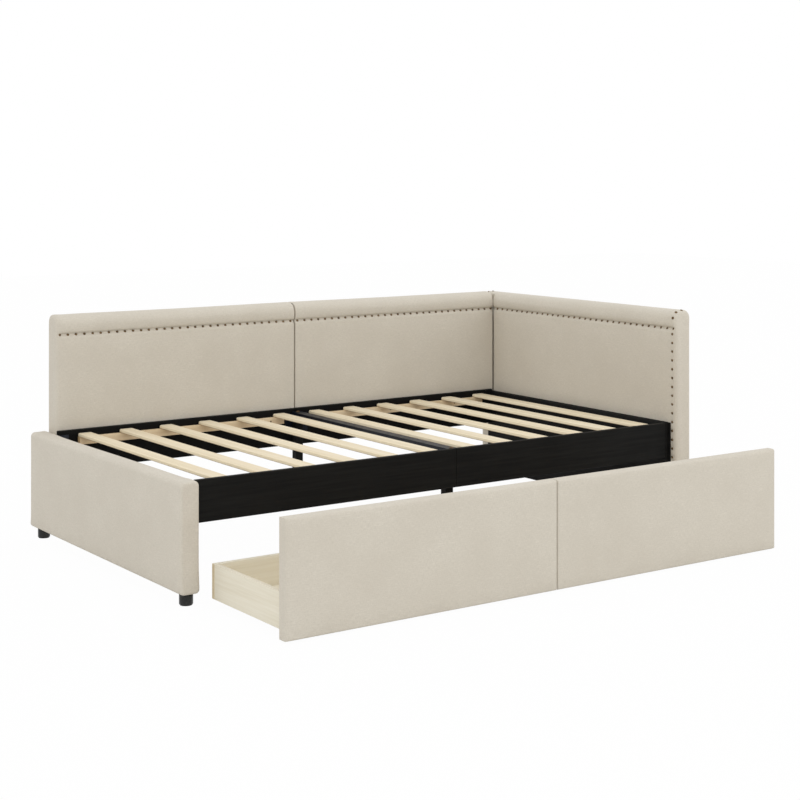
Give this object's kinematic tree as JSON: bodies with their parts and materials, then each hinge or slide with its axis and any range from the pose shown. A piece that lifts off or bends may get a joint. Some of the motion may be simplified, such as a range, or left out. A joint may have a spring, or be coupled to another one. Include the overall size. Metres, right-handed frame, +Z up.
{
  "type": "storage daybed",
  "caption": "Upholstered twin storage daybed: tall side and rear panels with a rolled top, a low footboard, a slatted platform and two rolling drawers below.",
  "frame": {"origin": "On the floor, in the middle of the box around the daybed with both drawers pulled out.", "axes": "+X from the footboard to the tall head panel, +Y from the drawers to the back panels, +Z up."},
  "size_m": [2.07, 1.628, 0.778],
  "materials": {
    "cover_fabric": "matte",
    "core_wood": "matte",
    "black_board": "satin",
    "slat_pine": "matte",
    "bar_steel": "satin",
    "foot_black": "gloss",
    "drawer_birch": "satin",
    "caster_zinc": "brushed",
    "wheel_nylon": "matte",
    "nail_bronze": "brushed"
  },
  "bodies": {
    "frame": {"footboard_cover": "cover_fabric", "head_cover": "cover_fabric", "back_cover_left": "cover_fabric", "back_cover_right": "cover_fabric", "footboard_core": "core_wood", "head_core": "core_wood", "back_core_left": "core_wood", "back_core_right": "core_wood", "foot_front_left": "foot_black", "foot_rear_left": "foot_black", "foot_front_right": "foot_black", "foot_rear_right": "foot_black", "front_rail_left": "black_board", "front_rail_right": "black_board", "rear_rail_left": "black_board", "rear_rail_right": "black_board", "head_end_board": "black_board", "front_cleat_left": "slat_pine", "front_cleat_right": "slat_pine", "rear_cleat_left": "slat_pine", "rear_cleat_right": "slat_pine", "slat_01": "slat_pine", "slat_02": "slat_pine", "slat_03": "slat_pine", "slat_04": "slat_pine", "slat_05": "slat_pine", "slat_06": "slat_pine", "slat_07": "slat_pine", "slat_08": "slat_pine", "slat_09": "slat_pine", "slat_10": "slat_pine", "slat_11": "slat_pine", "slat_12": "slat_pine", "centre_bar": "bar_steel", "centre_leg_front": "black_board", "centre_leg_rear": "black_board"},
    "left_drawer": {"left_drawer_front_cover": "cover_fabric", "left_drawer_front_board": "core_wood", "left_drawer_side_outer": "drawer_birch", "left_drawer_side_inner": "drawer_birch", "left_drawer_rear": "drawer_birch", "left_drawer_bottom": "drawer_birch", "left_drawer_caster_rail_left": "caster_zinc", "left_drawer_caster_rail_right": "caster_zinc"},
    "right_drawer": {"right_drawer_front_cover": "cover_fabric", "right_drawer_front_board": "core_wood", "right_drawer_side_outer": "drawer_birch", "right_drawer_side_inner": "drawer_birch", "right_drawer_rear": "drawer_birch", "right_drawer_bottom": "drawer_birch", "right_drawer_caster_rail_left": "caster_zinc", "right_drawer_caster_rail_right": "caster_zinc"},
    "left_wheel_front_left": {"left_drawer_wheel_front_left": "wheel_nylon"},
    "left_wheel_front_right": {"left_drawer_wheel_front_right": "wheel_nylon"},
    "left_wheel_rear_left": {"left_drawer_wheel_rear_left": "wheel_nylon"},
    "left_wheel_rear_right": {"left_drawer_wheel_rear_right": "wheel_nylon"},
    "right_wheel_front_left": {"right_drawer_wheel_front_left": "wheel_nylon"},
    "right_wheel_front_right": {"right_drawer_wheel_front_right": "wheel_nylon"},
    "right_wheel_rear_left": {"right_drawer_wheel_rear_left": "wheel_nylon"},
    "right_wheel_rear_right": {"right_drawer_wheel_rear_right": "wheel_nylon"}
  },
  "joints": [
    {"name": "left_drawer_slide", "type": "slide", "parent": "frame", "child": "left_drawer", "axis": [0, 1, 0], "range_m": [0, 0.474]},
    {"name": "right_drawer_slide", "type": "slide", "parent": "frame", "child": "right_drawer", "axis": [0, 1, 0], "range_m": [0, 0.474]},
    {"name": "left_wheel_front_left_roll", "type": "hinge", "parent": "left_drawer", "child": "left_wheel_front_left", "pos_m": [-0.882, -0.706, 0.011], "axis": [-1, 0, 0], "continuous": true},
    {"name": "left_wheel_front_right_roll", "type": "hinge", "parent": "left_drawer", "child": "left_wheel_front_right", "pos_m": [-0.109, -0.706, 0.011], "axis": [-1, 0, 0], "continuous": true},
    {"name": "left_wheel_rear_left_roll", "type": "hinge", "parent": "left_drawer", "child": "left_wheel_rear_left", "pos_m": [-0.882, -0.4345, 0.011], "axis": [-1, 0, 0], "continuous": true},
    {"name": "left_wheel_rear_right_roll", "type": "hinge", "parent": "left_drawer", "child": "left_wheel_rear_right", "pos_m": [-0.109, -0.4345, 0.011], "axis": [-1, 0, 0], "continuous": true},
    {"name": "right_wheel_front_left_roll", "type": "hinge", "parent": "right_drawer", "child": "right_wheel_front_left", "pos_m": [0.092, -0.706, 0.011], "axis": [-1, 0, 0], "continuous": true},
    {"name": "right_wheel_front_right_roll", "type": "hinge", "parent": "right_drawer", "child": "right_wheel_front_right", "pos_m": [0.865, -0.706, 0.011], "axis": [-1, 0, 0], "continuous": true},
    {"name": "right_wheel_rear_left_roll", "type": "hinge", "parent": "right_drawer", "child": "right_wheel_rear_left", "pos_m": [0.092, -0.4345, 0.011], "axis": [-1, 0, 0], "continuous": true},
    {"name": "right_wheel_rear_right_roll", "type": "hinge", "parent": "right_drawer", "child": "right_wheel_rear_right", "pos_m": [0.865, -0.4345, 0.011], "axis": [-1, 0, 0], "continuous": true}
  ],
  "couplings": [
    {"joint": "left_wheel_front_left_roll", "follows": "left_drawer_slide", "rad_per_m": 90.909},
    {"joint": "left_wheel_front_right_roll", "follows": "left_drawer_slide", "rad_per_m": 90.909},
    {"joint": "left_wheel_rear_left_roll", "follows": "left_drawer_slide", "rad_per_m": 90.909},
    {"joint": "left_wheel_rear_right_roll", "follows": "left_drawer_slide", "rad_per_m": 90.909},
    {"joint": "right_wheel_front_left_roll", "follows": "right_drawer_slide", "rad_per_m": 90.909},
    {"joint": "right_wheel_front_right_roll", "follows": "right_drawer_slide", "rad_per_m": 90.909},
    {"joint": "right_wheel_rear_left_roll", "follows": "right_drawer_slide", "rad_per_m": 90.909},
    {"joint": "right_wheel_rear_right_roll", "follows": "right_drawer_slide", "rad_per_m": 90.909}
  ]
}
